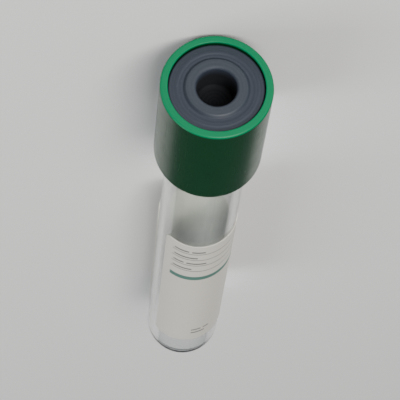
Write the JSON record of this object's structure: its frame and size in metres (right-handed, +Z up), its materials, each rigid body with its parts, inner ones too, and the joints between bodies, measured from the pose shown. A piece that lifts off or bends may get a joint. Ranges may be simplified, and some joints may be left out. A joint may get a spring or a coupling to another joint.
{
  "type": "blood collection tube",
  "caption": "Clear round-bottomed sample tube lying on its side, with a paper label and a green pull-off cap round a grey rubber stopper that a needle goes through.",
  "frame": {"origin": "on the ground, under the middle of the tube's bounding box", "axes": "+Z up; the tube lies along Y with its cap towards -Y, and its axis leans 1.49 degrees, cap end up, because the cap is wider than the glass"},
  "size_m": [0.017, 0.1054, 0.0175],
  "materials": {
    "glass": "clear, polished",
    "label_paper": "coated paper, faint sheen",
    "stopper_rubber": "moulded, matt with a soft sheen",
    "cap_plastic": "moulded, glossy"
  },
  "bodies": {
    "tube": {"glass_tube": "glass", "label": "label_paper"},
    "closure": {"stopper": "stopper_rubber", "cap": "cap_plastic"}
  },
  "joints": [
    {"name": "closure_pull", "type": "slide", "parent": "tube", "child": "closure", "axis": [0, -0.9997, 0.0259], "range_m": [0, 0.03]}
  ]
}
